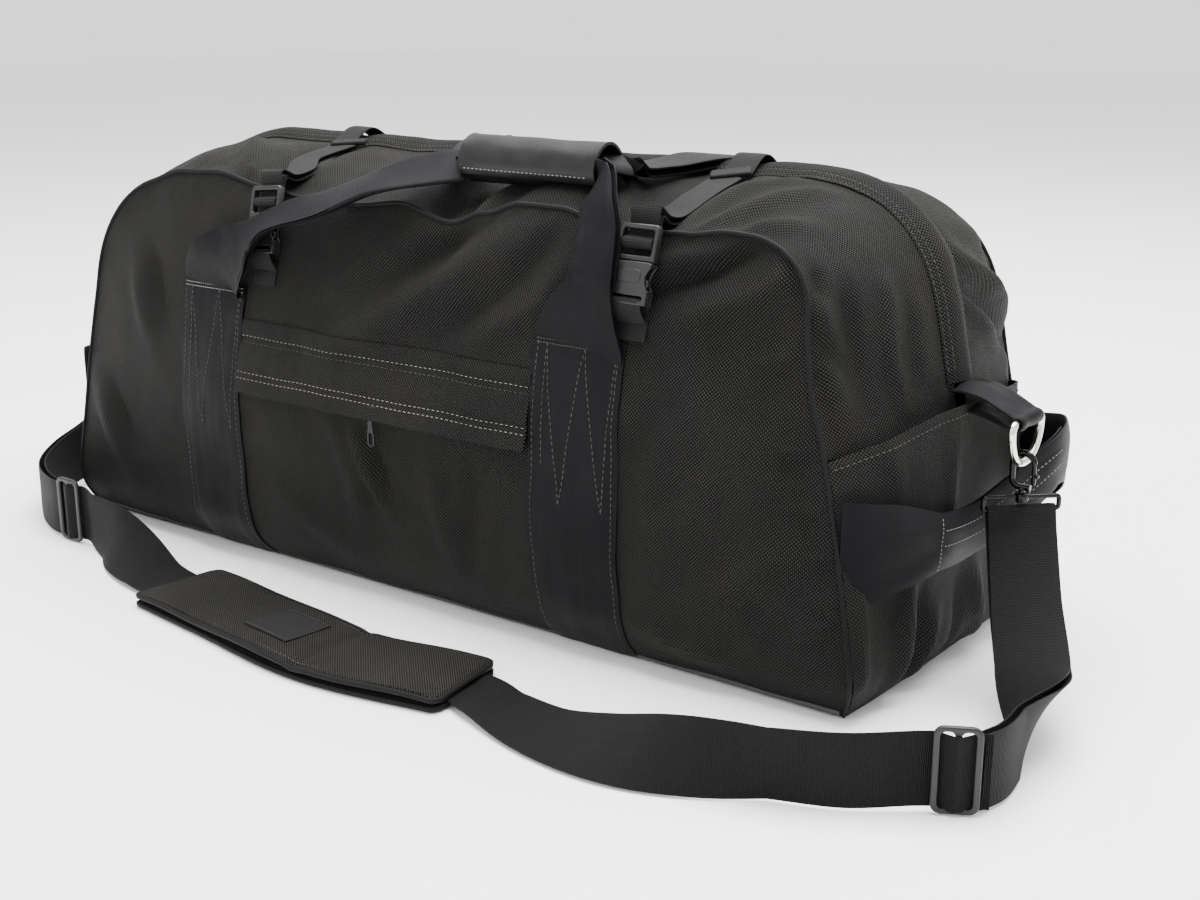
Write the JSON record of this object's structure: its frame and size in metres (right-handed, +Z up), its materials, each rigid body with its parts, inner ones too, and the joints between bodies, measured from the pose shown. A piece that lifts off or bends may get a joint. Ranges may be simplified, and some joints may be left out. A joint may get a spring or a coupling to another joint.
{
  "type": "duffel bag",
  "caption": "Soft black travel duffel bag with webbing carry handles, a zipped front pocket, end pockets, compression straps and a hooked shoulder strap lying in front.",
  "frame": {"origin": "centre of the bag's footprint on the floor", "axes": "+X towards the end of the bag on the right of the picture, -Y towards the front with the zipped pocket, +Z up"},
  "size_m": [1.0528, 0.5129, 0.3771],
  "materials": {
    "nylon": "matte woven",
    "seat_belt_webbing": "satin ribbed",
    "coarse_webbing": "matte ribbed",
    "black_plastic": "satin",
    "leather": "smooth satin",
    "nickel": "polished",
    "black_metal": "glossy",
    "board": "matte"
  },
  "bodies": {
    "bag": {"base_panel": "nylon", "base_board": "board", "front_panel": "nylon", "back_panel": "nylon", "top_gusset_front": "nylon", "top_gusset_rear": "nylon", "main_zip": "coarse_webbing", "storm_flap": "nylon", "lower_end_right": "nylon", "lower_end_left": "nylon", "end_pocket_right": "nylon", "end_pocket_left": "nylon", "piping_front": "nylon", "piping_back": "nylon", "pocket_flap": "nylon", "pocket_zip": "coarse_webbing", "pocket_lining": "nylon", "handle_patch_front_right": "seat_belt_webbing", "handle_patch_front_left": "seat_belt_webbing", "handle_patch_rear_right": "seat_belt_webbing", "handle_patch_rear_left": "seat_belt_webbing", "grab_handle_right": "seat_belt_webbing", "grab_handle_left": "seat_belt_webbing", "ring_tab_right": "seat_belt_webbing", "ring_tab_left": "seat_belt_webbing", "strap_anchor_right": "coarse_webbing", "strap_anchor_left": "coarse_webbing", "buckle_socket_right": "black_plastic", "buckle_socket_left": "black_plastic", "compression_strap_right": "coarse_webbing", "compression_strap_left": "coarse_webbing", "shoulder_strap": "coarse_webbing", "strap_end_right": "coarse_webbing", "strap_end_left": "coarse_webbing"},
    "main_slider": {"main_slider": "black_metal"},
    "main_pull": {"main_pull": "black_metal"},
    "pocket_slider": {"pocket_slider": "black_metal"},
    "pocket_pull": {"pocket_pull": "black_metal"},
    "carry_handles": {"grip_wrap": "leather", "handle_strap_front": "seat_belt_webbing", "handle_strap_rear": "seat_belt_webbing"},
    "ring_right": {"d_ring_right": "nickel", "wire_loop_right": "black_metal"},
    "hook_right": {"snap_hook_right": "black_metal"},
    "gate_right": {"hook_gate_right": "black_metal"},
    "ring_left": {"d_ring_left": "nickel", "wire_loop_left": "black_metal"},
    "hook_left": {"snap_hook_left": "black_metal"},
    "gate_left": {"hook_gate_left": "black_metal"},
    "pad": {"shoulder_pad_lower": "nylon", "shoulder_pad_upper": "nylon"},
    "slide_buckle_right": {"slide_buckle_right": "black_plastic"},
    "slide_buckle_left": {"slide_buckle_left": "black_plastic"},
    "plug_right": {"buckle_plug_right": "black_plastic"},
    "arm_outer_right": {"buckle_arm_outer_right": "black_plastic"},
    "arm_inner_right": {"buckle_arm_inner_right": "black_plastic"},
    "plug_left": {"buckle_plug_left": "black_plastic"},
    "arm_outer_left": {"buckle_arm_outer_left": "black_plastic"},
    "arm_inner_left": {"buckle_arm_inner_left": "black_plastic"}
  },
  "joints": [
    {"name": "main_slider_slide", "type": "slide", "parent": "bag", "child": "main_slider", "axis": [1, 0, 0], "range_m": [-0.13, 0.37]},
    {"name": "main_pull_lift", "type": "hinge", "parent": "main_slider", "child": "main_pull", "pos_m": [-0.122, 0, 0.3532], "axis": [0, 1, 0], "range_deg": [-5, 0]},
    {"name": "pocket_slider_slide", "type": "slide", "parent": "bag", "child": "pocket_slider", "axis": [1, 0, 0], "range_m": [-0.13, 0.125]},
    {"name": "pocket_pull_swing", "type": "hinge", "parent": "pocket_slider", "child": "pocket_pull", "pos_m": [0.003, -0.18338, 0.156], "axis": [1, 0, 0], "range_deg": [-70, 0]},
    {"name": "handle_lift", "type": "slide", "parent": "bag", "child": "carry_handles", "axis": [0, 0, 1], "range_m": [0, 0.025], "deforming": ["handle_strap_front", "handle_strap_rear"]},
    {"name": "ring_swing_right", "type": "hinge", "parent": "bag", "child": "ring_right", "pos_m": [0.464, 0, 0.192], "axis": [0, 1, 0], "range_deg": [-70, 0], "deforming": ["strap_end_right"]},
    {"name": "hook_turn_right", "type": "hinge", "parent": "ring_right", "child": "hook_right", "pos_m": [0.464, 0, 0.1425], "axis": [0, 0, 1], "range_deg": [-45, 45]},
    {"name": "gate_open_right", "type": "hinge", "parent": "hook_right", "child": "gate_right", "pos_m": [0.472, 0, 0.1461], "axis": [0, 1, 0], "range_deg": [-25, 0], "stiffness_Nm_per_rad": 0.01, "springref_deg": 22.92},
    {"name": "ring_swing_left", "type": "hinge", "parent": "bag", "child": "ring_left", "pos_m": [-0.464, 0, 0.192], "axis": [0, 1, 0], "range_deg": [0, 70], "deforming": ["strap_end_left"]},
    {"name": "hook_turn_left", "type": "hinge", "parent": "ring_left", "child": "hook_left", "pos_m": [-0.464, 0, 0.1425], "axis": [0, 0, 1], "range_deg": [-45, 45]},
    {"name": "gate_open_left", "type": "hinge", "parent": "hook_left", "child": "gate_left", "pos_m": [-0.472, 0, 0.1461], "axis": [0, 1, 0], "range_deg": [0, 25], "stiffness_Nm_per_rad": 0.01, "springref_deg": -22.92},
    {"name": "pad_slide", "type": "slide", "parent": "bag", "child": "pad", "axis": [1, 0, 0], "range_m": [-0.03, 0.03], "deforming": ["shoulder_strap"]},
    {"name": "slide_buckle_travel_right", "type": "slide", "parent": "bag", "child": "slide_buckle_right", "axis": [-0.88, -0.475, 0], "range_m": [-0.02, 0.02], "deforming": ["shoulder_strap", "strap_end_right"]},
    {"name": "slide_buckle_travel_left", "type": "slide", "parent": "bag", "child": "slide_buckle_left", "axis": [-1, 0, 0], "range_m": [-0.02, 0.02], "deforming": ["shoulder_strap", "strap_end_left"]},
    {"name": "plug_pull_right", "type": "slide", "parent": "bag", "child": "plug_right", "axis": [0, 0.303, 0.953], "range_m": [0, 0.026], "deforming": ["compression_strap_right"]},
    {"name": "arm_squeeze_outer_right", "type": "hinge", "parent": "plug_right", "child": "arm_outer_right", "pos_m": [0.2444, -0.15386, 0.30011], "axis": [0, 0.953, -0.303], "range_deg": [0, 12]},
    {"name": "arm_squeeze_inner_right", "type": "hinge", "parent": "plug_right", "child": "arm_inner_right", "pos_m": [0.2276, -0.15386, 0.30011], "axis": [0, 0.953, -0.303], "range_deg": [-12, 0]},
    {"name": "plug_pull_left", "type": "slide", "parent": "bag", "child": "plug_left", "axis": [-0.0949, 0.3017, 0.9487], "range_m": [0, 0.026], "deforming": ["compression_strap_left"]},
    {"name": "arm_squeeze_outer_left", "type": "hinge", "parent": "plug_left", "child": "arm_outer_left", "pos_m": [-0.12744, -0.1559, 0.30074], "axis": [0, 0.953, -0.303], "range_deg": [0, 12]},
    {"name": "arm_squeeze_inner_left", "type": "hinge", "parent": "plug_left", "child": "arm_inner_left", "pos_m": [-0.14416, -0.15638, 0.29923], "axis": [0, 0.953, -0.303], "range_deg": [-12, 0]}
  ],
  "couplings": [
    {"joint": "arm_squeeze_outer_right", "follows": "plug_pull_right", "rad_per_m": 8},
    {"joint": "arm_squeeze_inner_right", "follows": "plug_pull_right", "rad_per_m": -8},
    {"joint": "arm_squeeze_outer_left", "follows": "plug_pull_left", "rad_per_m": 8},
    {"joint": "arm_squeeze_inner_left", "follows": "plug_pull_left", "rad_per_m": -8}
  ]
}
